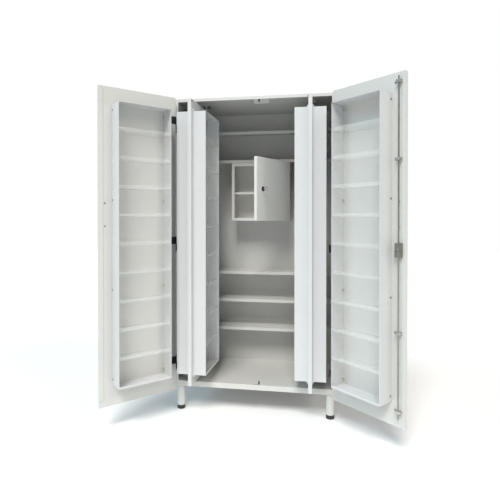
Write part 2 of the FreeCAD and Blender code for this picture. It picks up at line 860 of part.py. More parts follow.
def save_safe():
    def at_rest(shape):
        return opened(shape, safe_axis, -safe_door_angle)

    save("safe_body", safe_body())
    save("safe_shelf", safe_shelf())
    save("safe_pin", safe_pin())
    save("safe_door", at_rest(safe_door()))
    save("safe_lock", at_rest(safe_lock()))
    save("safe_plug", at_rest(safe_plug()))
    save("safe_key", at_rest(safe_key()))


os.makedirs("parts", exist_ok=True)
save_carcass()
save_door("left", door_left_angle, False)
save_door("right", door_right_angle, True)
save_leaf("left", leaf_left_angle)
save_leaf("right", leaf_right_angle)
save_safe()
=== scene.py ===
import json
import math
import bmesh
import bpy
import numpy as np
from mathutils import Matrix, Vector


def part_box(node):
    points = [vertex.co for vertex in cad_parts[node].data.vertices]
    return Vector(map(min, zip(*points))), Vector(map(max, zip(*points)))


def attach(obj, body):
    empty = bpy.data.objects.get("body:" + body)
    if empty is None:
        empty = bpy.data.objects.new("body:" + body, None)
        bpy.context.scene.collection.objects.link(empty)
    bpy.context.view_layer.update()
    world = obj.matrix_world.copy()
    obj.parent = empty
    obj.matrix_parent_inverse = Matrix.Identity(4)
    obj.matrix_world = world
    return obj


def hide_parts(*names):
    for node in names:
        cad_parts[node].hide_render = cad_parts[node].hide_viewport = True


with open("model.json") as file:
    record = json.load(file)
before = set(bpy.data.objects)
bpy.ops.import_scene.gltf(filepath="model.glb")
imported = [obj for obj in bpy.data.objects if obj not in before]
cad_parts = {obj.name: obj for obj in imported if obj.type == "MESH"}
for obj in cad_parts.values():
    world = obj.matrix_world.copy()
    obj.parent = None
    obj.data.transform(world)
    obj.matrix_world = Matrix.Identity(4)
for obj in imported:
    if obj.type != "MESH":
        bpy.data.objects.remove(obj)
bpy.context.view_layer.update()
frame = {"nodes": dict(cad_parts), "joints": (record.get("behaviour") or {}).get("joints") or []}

# Parts and joints
# The plain solids and their joints, before anything is dressed or replaced.
nodes = frame["nodes"]
joints = {joint["name"]: joint for joint in frame["joints"]}

# Camera
# It stands a little right of the middle at chest height, turned to the left, with a moderate wide lens.
eye = (0.408, -2.772, 1.211)
turned_left = math.radians(9.47)
tipped_down = math.radians(0.43)
photo_px = 500.0
focal_px = 452.6
axis_px = (245.5, 219.6)
camera_data = bpy.data.cameras.new("camera")
camera_data.lens = camera_data.sensor_width * focal_px / photo_px
camera_data.shift_x = 0.5 - axis_px[0] / photo_px
camera_data.shift_y = axis_px[1] / photo_px - 0.5
camera = bpy.data.objects.new("camera", camera_data)
camera.location = eye
camera.rotation_euler = (math.pi / 2 - tipped_down, 0, turned_left)
bpy.context.scene.collection.objects.link(camera)
bpy.context.scene.camera = camera

# Studio
# A white floor under a white surround, with cool daylight from the front left and warm light from the right.
# The camera sees the surround at full white; as a light it stays dimmer, so that the inside falls into shade.
# Each light has a bearing and a height in degrees, a strength and a colour.
floor_half = 14.0
floor_colour = (0.94, 0.94, 0.94, 1)
floor_roughness = 0.9
surround_seen = 1.0
surround_light = 0.3
surround_tint = (0.97, 0.985, 1.0, 1)
sun_spread = 24.0
lights = {
    "daylight": (-64, 34, 0.78, (0.52, 0.83, 1.0)),
    "room_light": (60, 36, 0.7, (1.0, 0.95, 0.87)),
    "front_light": (-5, 51, 2.75, (1.0, 0.985, 0.95)),
}
merge_dist = 1e-6
sliver_dist = 1e-7


def shader_nodes(owner):
    """A material's or world's cleared tree, and a function that adds a node with its inputs set by name."""
    owner.use_nodes = True
    tree = owner.node_tree
    tree.nodes.clear()

    def add(kind, **inputs):
        node = tree.nodes.new(kind)
        for name, value in inputs.items():
            node.inputs[name.replace("_", " ")].default_value = value
        return node

    return tree, add


def surface_piece(name, patches, smooth_deg=35.0):
    """One mesh from patches of points: quads join each patch[i, j] to its neighbours at i + 1 and j + 1."""
    counts = [patch.shape[0] * patch.shape[1] for patch in patches]
    starts = np.concatenate([[0], np.cumsum(counts)[:-1]])
    quads = []
    for patch, start in zip(patches, starts):
        index = np.arange(patch.shape[0] * patch.shape[1]).reshape(patch.shape[:2]) + start
        around = [index[:-1, :-1], index[1:, :-1], index[1:, 1:], index[:-1, 1:]]
        quads.append(np.stack(around, -1).reshape(-1, 4))
    points = np.concatenate([patch.reshape(-1, 3) for patch in patches])
    quads = np.concatenate(quads)
    mesh = bpy.data.meshes.new(name)
    mesh.vertices.add(len(points))
    mesh.vertices.foreach_set("co", points.astype(np.float32).ravel())
    mesh.loops.add(quads.size)
    mesh.loops.foreach_set("vertex_index", quads.astype(np.int32).ravel())
    mesh.polygons.add(len(quads))
    mesh.polygons.foreach_set("loop_start", np.arange(0, quads.size, 4, dtype=np.int32))
    mesh.update(calc_edges=True)
    work = bmesh.new()
    work.from_mesh(mesh)
    bmesh.ops.remove_doubles(work, verts=work.verts, dist=merge_dist)
    bmesh.ops.dissolve_degenerate(work, edges=work.edges, dist=sliver_dist)
    bmesh.ops.recalc_face_normals(work, faces=work.faces)
    work.to_mesh(mesh)
    work.free()
    mesh.polygons.foreach_set("use_smooth", np.ones(len(mesh.polygons), bool))
    mesh.set_sharp_from_angle(angle=math.radians(smooth_deg))
    piece = bpy.data.objects.new(name, mesh)
    bpy.context.scene.collection.objects.link(piece)
    return piece


span = np.linspace(-floor_half, floor_half, 3)
floor_x, floor_y = np.meshgrid(span, span, indexing="ij")
floor = surface_piece("studio_floor", [np.stack([floor_x, floor_y, np.zeros_like(floor_x)], -1)])
floor_material = bpy.data.materials.new("studio_floor")
tree, add = shader_nodes(floor_material)
shader = add("ShaderNodeBsdfPrincipled", Base_Color=floor_colour, Roughness=floor_roughness)
tree.links.new(shader.outputs[0], add("ShaderNodeOutputMaterial").inputs["Surface"])
floor.data.materials.append(floor_material)

world = bpy.data.worlds.new("studio")
bpy.context.scene.world = world
tree, add = shader_nodes(world)
lit = add("ShaderNodeBackground", Color=surround_tint, Strength=surround_light)
seen = add("ShaderNodeBackground", Color=(1, 1, 1, 1), Strength=surround_seen)
blend = add("ShaderNodeMixShader")
tree.links.new(add("ShaderNodeLightPath").outputs["Is Camera Ray"], blend.inputs["Fac"])
tree.links.new(lit.outputs[0], blend.inputs[1])
tree.links.new(seen.outputs[0], blend.inputs[2])
tree.links.new(blend.outputs[0], add("ShaderNodeOutputWorld").inputs["Surface"])


def distant_light(name, bearing, height, strength, colour):
    """A soft sun whose light comes from a bearing in degrees right of the front and a height in degrees."""
    bearing = math.radians(bearing)
    height = math.radians(height)
    level = math.cos(height)
    source = Vector((math.sin(bearing) * level, -math.cos(bearing) * level, math.sin(height)))
    data = bpy.data.lights.new(name, "SUN")
    data.energy = strength
    data.angle = math.radians(sun_spread)
    data.color = colour
    light = bpy.data.objects.new(name, data)
    light.rotation_euler = (-source).to_track_quat("-Z", "Y").to_euler()
    bpy.context.scene.collection.objects.link(light)


for name, (bearing, height, strength, colour) in lights.items():
    distant_light(name, bearing, height, strength, colour)
bpy.context.scene.view_settings.view_transform = "Standard"

# Carcass
# Folded steel sheet, spot welded and coated with warm pale powder paint that dries to a faint orange peel.
# A narrow rounding on the folds catches the light as real bends do, and the weld spots show on the back.
body_paint = (0.635, 0.636, 0.613, 1)
body_shade = (0.60, 0.60, 0.578, 1)
body_rough = (0.3, 0.45)
noise_low = 0.3
noise_high = 0.7
cloud_per_metre = 3.2
dust_colour = (0.50, 0.48, 0.44, 1)
dust_most = 0.22
dust_from = 0.6
peel_per_metre = 380.0
peel_depth = 0.00012
peel_strength = 0.35
seam_dist = 1e-5
fold_radius = 0.0005
fold_from_deg = 40.0
spot_pitch = 0.115
spot_inset = 0.014
spot_steps = 16
spot_profile = [
    (0, -0.0004), (0.0032, -0.0004), (0.0032, 0), (0.0026, 0.00028), (0.0013, 0.0001), (0, 0.00014),
]


def group_socket(group, name, kind, way, value=None):
    """One named input or output of a node group, with its usual value."""
    socket = group.interface.new_socket(name=name, in_out=way, socket_type=kind)
    if value is not None:
        socket.default_value = value


def powder_coat_group():
    """Cloudy colour between two paints, dust on upward faces, and a sprayed coat's roughness and height."""
    group = bpy.data.node_groups.new("powder_coat", "ShaderNodeTree")
    group_socket(group, "Paint", "NodeSocketColor", "INPUT")
    group_socket(group, "Shade", "NodeSocketColor", "INPUT")
    group_socket(group, "Peel Scale", "NodeSocketFloat", "INPUT", peel_per_metre)
    group_socket(group, "Gloss Low", "NodeSocketFloat", "INPUT", body_rough[0])
    group_socket(group, "Gloss High", "NodeSocketFloat", "INPUT", body_rough[1])
    group_socket(group, "Color", "NodeSocketColor", "OUTPUT")
    group_socket(group, "Roughness", "NodeSocketFloat", "OUTPUT")
    group_socket(group, "Height", "NodeSocketFloat", "OUTPUT")
    links = group.links
    entry = group.nodes.new("NodeGroupInput")
    leave = group.nodes.new("NodeGroupOutput")
    place = group.nodes.new("ShaderNodeTexCoord")
    peel = group.nodes.new("ShaderNodeTexNoise")
    peel.inputs["Detail"].default_value = 2.0
    cloud = group.nodes.new("ShaderNodeTexNoise")
    cloud.inputs["Scale"].default_value = cloud_per_metre
    cloud.inputs["Detail"].default_value = 4.0
    mix = group.nodes.new("ShaderNodeMix")
    mix.data_type = "RGBA"
    gloss = group.nodes.new("ShaderNodeMapRange")
    gloss.inputs["From Min"].default_value = noise_low
    gloss.inputs["From Max"].default_value = noise_high
    facing = group.nodes.new("ShaderNodeSeparateXYZ")
    upward = group.nodes.new("ShaderNodeMapRange")
    upward.inputs["From Min"].default_value = dust_from
    upward.inputs["To Max"].default_value = dust_most
    settle = group.nodes.new("ShaderNodeMath")
    settle.operation = "MULTIPLY"
    dusty = group.nodes.new("ShaderNodeMix")
    dusty.data_type = "RGBA"
    dusty.inputs["B"].default_value = dust_colour
    links.new(place.outputs["Object"], peel.inputs["Vector"])
    links.new(place.outputs["Object"], cloud.inputs["Vector"])
    links.new(place.outputs["Normal"], facing.inputs["Vector"])
    links.new(entry.outputs["Peel Scale"], peel.inputs["Scale"])
    links.new(cloud.outputs["Fac"], mix.inputs["Factor"])
    links.new(entry.outputs["Paint"], mix.inputs["A"])
    links.new(entry.outputs["Shade"], mix.inputs["B"])
    links.new(facing.outputs["Z"], upward.inputs["Value"])
    links.new(upward.outputs["Result"], settle.inputs[0])
    links.new(cloud.outputs["Fac"], settle.inputs[1])
    links.new(settle.outputs["Value"], dusty.inputs["Factor"])
    links.new(mix.outputs["Result"], dusty.inputs["A"])
    links.new(dusty.outputs["Result"], leave.inputs["Color"])
    links.new(cloud.outputs["Fac"], gloss.inputs["Value"])
    links.new(entry.outputs["Gloss Low"], gloss.inputs["To Min"])
    links.new(entry.outputs["Gloss High"], gloss.inputs["To Max"])
    links.new(gloss.outputs["Result"], leave.inputs["Roughness"])
    links.new(peel.outputs["Fac"], leave.inputs["Height"])
    return group


coat = powder_coat_group()


def coated(name, paint, shade, rough=body_rough, peel=peel_per_metre, depth=peel_depth):
    """A painted finish: the shared coat group drives colour, roughness and the bump of the swells."""
    material = bpy.data.materials.new(name)
    tree, add = shader_nodes(material)
    group = tree.nodes.new("ShaderNodeGroup")
    group.node_tree = coat
    group.inputs["Paint"].default_value = paint
    group.inputs["Shade"].default_value = shade
    group.inputs["Peel Scale"].default_value = peel
    group.inputs["Gloss Low"].default_value = rough[0]
    group.inputs["Gloss High"].default_value = rough[1]
    bump = add("ShaderNodeBump", Strength=peel_strength, Distance=depth)
    shader = add("ShaderNodeBsdfPrincipled")
    tree.links.new(group.outputs["Color"], shader.inputs["Base Color"])
    tree.links.new(group.outputs["Roughness"], shader.inputs["Roughness"])
    tree.links.new(group.outputs["Height"], bump.inputs["Height"])
    tree.links.new(bump.outputs["Normal"], shader.inputs["Normal"])
    tree.links.new(shader.outputs[0], add("ShaderNodeOutputMaterial").inputs["Surface"])
    return material


def dress(node, material):
    """A solid's finish, in place of the one it came with."""
    nodes[node].data.materials.clear()
    nodes[node].data.materials.append(material)


def round_folds(node, radius=fold_radius):
    """A narrow rounding of a solid's sharp edges."""
    weld = nodes[node].modifiers.new("seams", "WELD")
    weld.merge_threshold = seam_dist
    fold = nodes[node].modifiers.new("folds", "BEVEL")
    fold.width = radius
    fold.segments = 2
    fold.limit_method = "ANGLE"
    fold.angle_limit = math.radians(fold_from_deg)
    fold.harden_normals = True


def fit(piece, material, body):
    """A new piece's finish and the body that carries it."""
    piece.data.materials.append(material)
    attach(piece, body)


def square_to(out):
    """A direction of length one with two more that are square to it and to each other."""
    out = np.asarray(out, float) / np.linalg.norm(out)
    aside = np.cross(out, (1.0, 0.0, 0.0) if abs(out[2]) > 0.9 else (0.0, 0.0, 1.0))
    aside /= np.linalg.norm(aside)
    return out, aside, np.cross(out, aside)


def turned_form(base, out, profile, steps=32):
    """A lathe form: each radius of the profile is swept round the axis at its height above the base."""
    out, aside, across = square_to(out)
    angle = np.linspace(0, 2 * math.pi, steps + 1)
    ring = np.cos(angle)[:, None] * aside + np.sin(angle)[:, None] * across
    radius, height = np.array(profile, float).T
    return np.asarray(base, float) + radius[:, None, None] * ring + height[:, None, None] * out


body_coat = coated("body_coat", body_paint, body_shade)
for node in ("side_left", "side_right", "back_panel", "top_panel", "bottom_panel", "strike_bracket"):
    dress(node, body_coat)
    round_folds(node)

back_low, back_high = np.array(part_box("back_panel"))
spot_z = np.arange(back_low[2] + spot_inset, back_high[2], spot_pitch)
spot_x = np.arange(back_low[0] + spot_inset + spot_pitch / 2, back_high[0], spot_pitch)
spot_sides = (back_low[0] + spot_inset, back_high[0] - spot_inset)
spot_ends = (back_low[2] + spot_inset, back_high[2] - spot_inset)
spots = [(x, back_high[1], z) for x in spot_sides for z in spot_z]
spots += [(x, back_high[1], z) for x in spot_x for z in spot_ends]
spot_forms = [turned_form(spot, (0, 1, 0), spot_profile, spot_steps) for spot in spots]
weld_spots = surface_piece("weld_spots", spot_forms)
fit(weld_spots, body_coat, "cabinet")

# Legs and feet
# Four steel tubes with top plates, welded under the floor and coated like the carcass.
# Black moulded feet are pressed into their ends, with a worn lower edge and a grip groove round each.
leg_radius = 0.025
leg_plate_t = 0.003
bead_r = 0.0022
bead_ripples = 34
bead_swell = 0.14
steps_per_ripple = 12
round_smooth_deg = 60.0
foot_black = (0.018, 0.018, 0.019, 1)
foot_grey = (0.035, 0.034, 0.033, 1)
foot_rough = (0.45, 0.65)
foot_grain = 900.0
foot_depth = 0.0002
foot_steps = 48
foot_profile = [
    (0, 0), (0.0195, 0), (0.0222, 0.0005), (0.0241, 0.0018), (0.0249, 0.0038), (0.025, 0.006),
    (0.025, 0.0125), (0.0243, 0.0131), (0.0243, 0.0147), (0.025, 0.0153), (0.025, 0.0232), (0.0246, 0.0244),
    (0.0236, 0.025), (0.023, 0.025), (0.023, 0.0435), (0.0222, 0.045), (0, 0.045),
]


def ring_bead(centre, radius, thick, ripples):
    """A ring weld: a torus whose thickness swells and sinks round the ring as the ripples of a bead do."""
    angle = np.linspace(0, 2 * math.pi, steps_per_ripple * ripples + 1)[:, None]
    turn = np.linspace(0, 2 * math.pi, 9)
    swell = thick * (1 + bead_swell * np.sin(ripples * angle))
    reach = radius + swell * np.cos(turn)
    height = swell * np.sin(turn)
    return np.asarray(centre) + np.stack([reach * np.cos(angle), reach * np.sin(angle), height], -1)


dress("legs", body_coat)
feet_low, feet_high = np.array(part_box("feet"))
foot_places = [(x, y, 0.0) for x in (feet_low[0] + leg_radius, feet_high[0] - leg_radius)
               for y in (feet_low[1] + leg_radius, feet_high[1] - leg_radius)]
plate_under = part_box("legs")[1][2] - leg_plate_t
beads = [ring_bead((x, y, plate_under), leg_radius, bead_r, bead_ripples) for x, y, z in foot_places]
leg_beads = surface_piece("leg_beads", beads, round_smooth_deg)
fit(leg_beads, body_coat, "cabinet")
foot_finish = coated("foot_moulding", foot_black, foot_grey, foot_rough, foot_grain, foot_depth)
pads = [turned_form(place, (0, 0, 1), foot_profile, foot_steps) for place in foot_places]
foot_pads = surface_piece("foot_pads", pads)
fit(foot_pads, foot_finish, "cabinet")
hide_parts("feet")

# Shelves and clips
# Five shallow shelves of the same sheet, each with a folded front lip, resting on bright zinc angle clips.
zinc_bright = (0.66, 0.66, 0.64, 1)
zinc_dull = (0.42, 0.415, 0.40, 1)
zinc_rough = (0.28, 0.45)
metal_rough = (0.25, 0.45)
streak_stretch = (900.0, 900.0, 40.0)
streak_strength = 0.2
streak_depth = 0.00005
stain_per_metre = 45.0


def brushed_group():
    """Fine streaks: noise squeezed by Stretch runs along one axis and sets roughness and height."""
    group = bpy.data.node_groups.new("brushed_metal", "ShaderNodeTree")
    group_socket(group, "Bright", "NodeSocketColor", "INPUT")
    group_socket(group, "Dull", "NodeSocketColor", "INPUT")
    group_socket(group, "Stretch", "NodeSocketVector", "INPUT", streak_stretch)
    group_socket(group, "Rough Low", "NodeSocketFloat", "INPUT", metal_rough[0])
    group_socket(group, "Rough High", "NodeSocketFloat", "INPUT", metal_rough[1])
    group_socket(group, "Color", "NodeSocketColor", "OUTPUT")
    group_socket(group, "Roughness", "NodeSocketFloat", "OUTPUT")
    group_socket(group, "Height", "NodeSocketFloat", "OUTPUT")
    links = group.links
    entry = group.nodes.new("NodeGroupInput")
    leave = group.nodes.new("NodeGroupOutput")
    place = group.nodes.new("ShaderNodeTexCoord")
    squeeze = group.nodes.new("ShaderNodeVectorMath")
    squeeze.operation = "MULTIPLY"
    streak = group.nodes.new("ShaderNodeTexNoise")
    streak.inputs["Scale"].default_value = 1.0
    streak.inputs["Detail"].default_value = 3.0
    stain = group.nodes.new("ShaderNodeTexNoise")
    stain.inputs["Scale"].default_value = stain_per_metre
    stain.inputs["Detail"].default_value = 3.0
    mix = group.nodes.new("ShaderNodeMix")
    mix.data_type = "RGBA"
    rough = group.nodes.new("ShaderNodeMapRange")
    rough.inputs["From Min"].default_value = noise_low
    rough.inputs["From Max"].default_value = noise_high
    links.new(place.outputs["Object"], squeeze.inputs[0])
    links.new(entry.outputs["Stretch"], squeeze.inputs[1])
    links.new(squeeze.outputs["Vector"], streak.inputs["Vector"])
    links.new(place.outputs["Object"], stain.inputs["Vector"])
    links.new(stain.outputs["Fac"], mix.inputs["Factor"])
    links.new(entry.outputs["Bright"], mix.inputs["A"])
    links.new(entry.outputs["Dull"], mix.inputs["B"])
    links.new(mix.outputs["Result"], leave.inputs["Color"])
    links.new(streak.outputs["Fac"], rough.inputs["Value"])
    links.new(entry.outputs["Rough Low"], rough.inputs["To Min"])
    links.new(entry.outputs["Rough High"], rough.inputs["To Max"])
    links.new(rough.outputs["Result"], leave.inputs["Roughness"])
    links.new(streak.outputs["Fac"], leave.inputs["Height"])
    return group


brushed = brushed_group()


def plated(name, bright, dull, rough, stretch=streak_stretch):
    """A bare or plated metal: the shared group drives colour, roughness and a fine bump of the streaks."""
    material = bpy.data.materials.new(name)
    tree, add = shader_nodes(material)
    group = tree.nodes.new("ShaderNodeGroup")
    group.node_tree = brushed
    group.inputs["Bright"].default_value = bright
    group.inputs["Dull"].default_value = dull
    group.inputs["Stretch"].default_value = stretch
    group.inputs["Rough Low"].default_value = rough[0]
    group.inputs["Rough High"].default_value = rough[1]
    bump = add("ShaderNodeBump", Strength=streak_strength, Distance=streak_depth)
    shader = add("ShaderNodeBsdfPrincipled", Metallic=1.0)
    tree.links.new(group.outputs["Color"], shader.inputs["Base Color"])
    tree.links.new(group.outputs["Roughness"], shader.inputs["Roughness"])
    tree.links.new(group.outputs["Height"], bump.inputs["Height"])
    tree.links.new(bump.outputs["Normal"], shader.inputs["Normal"])
    tree.links.new(shader.outputs[0], add("ShaderNodeOutputMaterial").inputs["Surface"])
    return material


for number in range(1, 6):
    dress("shelf_%d" % number, body_coat)
    round_folds("shelf_%d" % number)
zinc = plated("zinc_plate", zinc_bright, zinc_dull, zinc_rough)
dress("shelf_clips", zinc)

# Door hinges
# Six black lift-off hinges: a wing on the carcass, a wing on the door and a steel pin between them.
# Two cross-head screws hold each wing.
hinge_black = (0.014, 0.014, 0.015, 1)
hinge_worn = (0.03, 0.03, 0.031, 1)
hinge_rough = (0.28, 0.42)
hinge_grain = 600.0
hinge_depth = 0.0001
body_wing_w = 0.035
body_wing_sheet = 0.0025
wing_screw_r = 0.0042
wing_screw_rise = 0.0014
wing_screw_share = 0.66
wing_screw_in = 0.011
dome_fall = 0.5
rim_under = 0.3
cross_half_w = 0.13
cross_reach = 0.6
cross_sink = 0.6
screw_smooth_deg = 25.0


def node_points(node):
    """All the points of a solid's mesh as rows of x, y and z."""
    mesh = nodes[node].data
    points = np.empty(3 * len(mesh.vertices), np.float32)
    mesh.vertices.foreach_get("co", points)
    return points.reshape(-1, 3).astype(float)


def swung(points, joint, degrees):
    """Points turned about a joint: the part along the axis stays, the rest turns by Rodrigues' formula."""
    axis = np.array(joint["axis"], float)
    pivot = np.array(joint["pos_m"], float)
    angle = math.radians(degrees)
    arm = np.asarray(points, float) - pivot
    along = (arm @ axis)[..., None] * axis
    return pivot + along + (arm - along) * math.cos(angle) + np.cross(axis, arm) * math.sin(angle)


def opening_angle(joint):
    """How far a joint is open at rest, in degrees."""
    return -round(joint["range_deg"][0], 1)


def shut_box(node, joint):
    """The corners of a solid's box when its joint is shut, where its sides lie square to the axes."""
    points = swung(node_points(node), joint, -opening_angle(joint))
    return points.min(0), points.max(0)


def heights(node):
    """The lower and upper level of each solid in a row of equal ones, one above the other."""
    return np.unique(np.round(node_points(node)[:, 2], 4)).reshape(-1, 2)


def opened(patches, joint):
    """Patches that are placed with the joint shut, carried to where the joint rests open."""
    return [swung(patch, joint, opening_angle(joint)) for patch in patches]


def screw_head(place, out, radius, rise):
    """A pan head: a dome that falls with the fourth power of the radius, with a cross sunk along two arms."""
    out, aside, across = square_to(out)
    share = np.linspace(0, 1, 12)[:, None]
    angle = np.linspace(0, 2 * math.pi, 49)
    x = share * np.cos(angle)
    y = share * np.sin(angle)
    narrow = np.minimum(abs(x), abs(y)) < cross_half_w
    short = np.maximum(abs(x), abs(y)) < cross_reach
    height = rise * (1 - dome_fall * share ** 4 - cross_sink * (narrow & short))
    x = np.concatenate([x, x[-1:], 0 * x[-1:]])
    y = np.concatenate([y, y[-1:], 0 * y[-1:]])
    height = np.concatenate([height, np.full((2, len(angle)), -rim_under * rise)])
    level = radius * (x[..., None] * aside + y[..., None] * across)
    return np.asarray(place) + level + height[..., None] * out


hinge_coat = coated("hinge_coat", hinge_black, hinge_worn, hinge_rough, hinge_grain, hinge_depth)
dress("hinge_leaves_body", hinge_coat)
round_folds("hinge_leaves_body")
dress("hinge_pins", zinc)
body_wing_low, body_wing_high = np.array(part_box("hinge_leaves_body"))
wing_face = body_wing_high[1] - body_wing_sheet
across = wing_screw_share * body_wing_w
body_screws = []
for low, high in heights("hinge_leaves_body"):
    for x in (body_wing_low[0] + across, body_wing_high[0] - across):
        for z in (low + wing_screw_in, high - wing_screw_in):
            body_screws.append(screw_head((x, wing_face, z), (0, -1, 0), wing_screw_r, wing_screw_rise))
body_wing_screws = surface_piece("body_wing_screws", body_screws, screw_smooth_deg)
fit(body_wing_screws, hinge_coat, "cabinet")
for side in ("left", "right"):
    swing = joints[side + "_door_swing"]
    node = side + "_door_hinges"
    dress(node, hinge_coat)
    round_folds(node)
    low_corner, high_corner = shut_box(node, swing)
    across = wing_screw_share * (high_corner[0] - low_corner[0])
    x = low_corner[0] + across if side == "left" else high_corner[0] - across
    levels = [z for low, high in heights(node) for z in (low + wing_screw_in, high - wing_screw_in)]
    screws = [screw_head((x, high_corner[1], z), (0, 1, 0), wing_screw_r, wing_screw_rise) for z in levels]
    door_wing_screws = surface_piece(side + "_door_wing_screws", opened(screws, swing), screw_smooth_deg)
    fit(door_wing_screws, hinge_coat, side + "_door")

# Doors
# Each door is an outer pan of folded sheet with a flat inner sheet set in it, both coated like the carcass.
# A strip along the left door's free edge laps over the right door, and satin bow handles are fixed outside.
pull_bright = (0.72, 0.71, 0.69, 1)
pull_dull = (0.56, 0.555, 0.54, 1)
pull_rough = (0.2, 0.34)
pull_r = 0.005
pull_foot_steps = 40
pull_foot_profile = [
    (0, -0.0004), (0.0075, -0.0004), (0.0075, 0.0012), (0.007, 0.0019), (0.0052, 0.0024), (0, 0.0024),
]
satin = plated("satin_nickel", pull_bright, pull_dull, pull_rough)
for side in ("left", "right"):
    swing = joints[side + "_door_swing"]
    dress(side + "_door_skin", body_coat)
    dress(side + "_door_inner", body_coat)
    dress(side + "_door_pull", satin)
    low_corner, high_corner = shut_box(side + "_door_pull", swing)
    middle = (low_corner[0] + high_corner[0]) / 2
    feet = [turned_form((middle, high_corner[1], z), (0, -1, 0), pull_foot_profile, pull_foot_steps)
            for z in (low_corner[2] + pull_r, high_corner[2] - pull_r)]
    pull_feet = surface_piece(side + "_pull_feet", opened(feet, swing))
    fit(pull_feet, satin, side + "_door")
dress("overlap_strip", body_coat)
round_folds("overlap_strip")

# Door racks
# A deep open frame of thin white-coated sheet is screwed to each door, with its front edge rolled to a hem.
# Slotted rails stand inside its walls, and clear acrylic trays with a raised lip hang in the slots.
rack_white = (0.625, 0.636, 0.643, 1)
rack_shade = (0.59, 0.60, 0.607, 1)
rack_rough = (0.26, 0.4)
hem_r = 0.0011
hem_corner = 0.004
lip_bead_share = 0.8
rack_sheet = 0.001
rack_lip = 0.012
tray_clear = (0.90, 0.93, 0.925, 1)
tray_dusty = (0.80, 0.82, 0.81, 1)
tray_alpha = 0.12
tray_ior = 1.49
tray_rough = (0.04, 0.16)
tray_edge = 0.0006
haze_per_metre = 60.0
screw_bright = (0.40, 0.39, 0.37, 1)
screw_dull = (0.16, 0.155, 0.15, 1)
screw_rough = (0.3, 0.5)


def rolled_hem(low, high, y, radius, corner):
    """A rolled edge: a circle carried round a rectangle with round corners that stands square to Y."""
    quarter = np.linspace(0, math.pi / 2, 5)
    angle = np.concatenate([quarter + turn * math.pi / 2 for turn in range(4)] + [[2 * math.pi]])
    right = high[0] - corner
    left = low[0] + corner
    upper = high[2] - corner
    lower = low[2] + corner
    middle_x = np.append(np.repeat([right, left, left, right], 5), right)
    middle_z = np.append(np.repeat([upper, upper, lower, lower], 5), upper)
    out = np.stack([np.cos(angle), 0 * angle, np.sin(angle)], -1)
    path = np.stack([middle_x, 0 * angle + y, middle_z], -1) + corner * out
    turn = np.linspace(0, 2 * math.pi, 11)[None, :, None]
    return path[:, None] + radius * (np.cos(turn) * out[:, None] + np.sin(turn) * np.array([0.0, 1.0, 0.0]))


def round_rod(start, end, radius):
    """A rod with half-round ends: from each tip the radius follows a sine and the reach a cosine."""
    start = np.asarray(start, float)
    end = np.asarray(end, float)
    length = np.linalg.norm(end - start)
    out, aside, across = square_to(end - start)
    tip = np.linspace(0, math.pi / 2, 5)
    reach = np.concatenate([-radius * np.cos(tip), length + radius * np.cos(tip[::-1])])
    wide = radius * np.concatenate([np.sin(tip), np.sin(tip[::-1])])
    angle = np.linspace(0, 2 * math.pi, 17)
    ring = np.cos(angle)[:, None] * aside + np.sin(angle)[:, None] * across
    return start + wide[:, None, None] * ring + reach[:, None, None] * out


def rack_hems(low, high, front):
    """The hem round a rack's open front and the bead on top of its bottom lip."""
    rim_low = low + rack_sheet / 2
    rim_high = high - rack_sheet / 2
    lip_z = low[2] + rack_lip
    bead = round_rod((rim_low[0], front, lip_z), (rim_high[0], front, lip_z), lip_bead_share * hem_r)
    return [rolled_hem(rim_low, rim_high, front, hem_r, hem_corner), bead]


def clear_plastic(name):
    """Clear sheet: pale and mostly see-through, with a haze of scratches in its colour and roughness."""
    material = bpy.data.materials.new(name)
    tree, add = shader_nodes(material)
    place = add("ShaderNodeTexCoord")
    haze = add("ShaderNodeTexNoise", Scale=haze_per_metre, Detail=5.0)
    mix = add("ShaderNodeMix")
    mix.data_type = "RGBA"
    mix.inputs["A"].default_value = tray_clear
    mix.inputs["B"].default_value = tray_dusty
    rough = add("ShaderNodeMapRange", To_Min=tray_rough[0], To_Max=tray_rough[1])
    shader = add("ShaderNodeBsdfPrincipled", IOR=tray_ior, Alpha=tray_alpha)
    tree.links.new(place.outputs["Object"], haze.inputs["Vector"])
    tree.links.new(haze.outputs["Fac"], mix.inputs["Factor"])
    tree.links.new(haze.outputs["Fac"], rough.inputs["Value"])
    tree.links.new(mix.outputs["Result"], shader.inputs["Base Color"])
    tree.links.new(rough.outputs["Result"], shader.inputs["Roughness"])
    tree.links.new(shader.outputs[0], add("ShaderNodeOutputMaterial").inputs["Surface"])
    return material


rack_coat = coated("rack_coat", rack_white, rack_shade, rack_rough)
acrylic = clear_plastic("clear_acrylic")
dark_zinc = plated("dark_zinc", screw_bright, screw_dull, screw_rough)
for side in ("left", "right"):
    swing = joints[side + "_door_swing"]
    dress(side + "_door_rack", rack_coat)
    dress(side + "_door_rails", rack_coat)
    dress(side + "_door_screws", dark_zinc)
    dress(side + "_door_trays", acrylic)
    round_folds(side + "_door_trays", tray_edge)
    low_corner, high_corner = shut_box(side + "_door_rack", swing)
    hems = rack_hems(low_corner, high_corner, high_corner[1] - rack_sheet / 2)
    door_hems = surface_piece(side + "_door_rack_hems", opened(hems, swing), round_smooth_deg)
    fit(door_hems, rack_coat, side + "_door")

